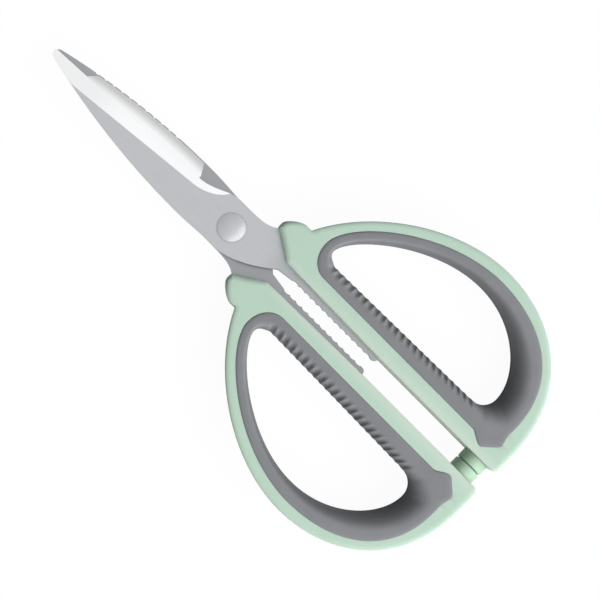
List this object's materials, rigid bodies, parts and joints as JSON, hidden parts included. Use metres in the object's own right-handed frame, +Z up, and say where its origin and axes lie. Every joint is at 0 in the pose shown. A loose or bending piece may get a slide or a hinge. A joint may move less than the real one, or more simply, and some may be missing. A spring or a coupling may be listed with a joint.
{
  "type": "household scissors",
  "caption": "Kitchen scissors with riveted steel blades, moulded loop handles with ribbed soft grip linings, toothed gripping slot and stop pegs.",
  "frame": {"origin": "centre of the bounding box, on the surface that the closed scissors lie on", "axes": "+X from the blade tips to the handles, +Y to the finger loop of the front blade, +Z up from the surface, parallel to the pivot rivet"},
  "size_m": [0.1996, 0.1078, 0.012],
  "materials": {
    "blade_steel": "satin, bevel polished",
    "handle_plastic": "satin mint moulding",
    "grip_rubber": "matt grey soft moulding",
    "rivet_steel": "polished"
  },
  "bodies": {
    "back_half": {"back_blade": "blade_steel", "back_handle_frame": "handle_plastic", "back_grip_lining": "grip_rubber", "back_stop_peg": "handle_plastic", "pivot_rivet": "rivet_steel", "rivet_washer": "rivet_steel"},
    "front_half": {"front_blade": "blade_steel", "front_handle_frame": "handle_plastic", "front_grip_lining": "grip_rubber", "front_stop_peg": "handle_plastic"}
  },
  "joints": [
    {"name": "blade_pivot", "type": "hinge", "parent": "back_half", "child": "front_half", "pos_m": [-0.01758, 0, 0.006], "axis": [0, 0, 1], "range_deg": [0, 95]}
  ]
}
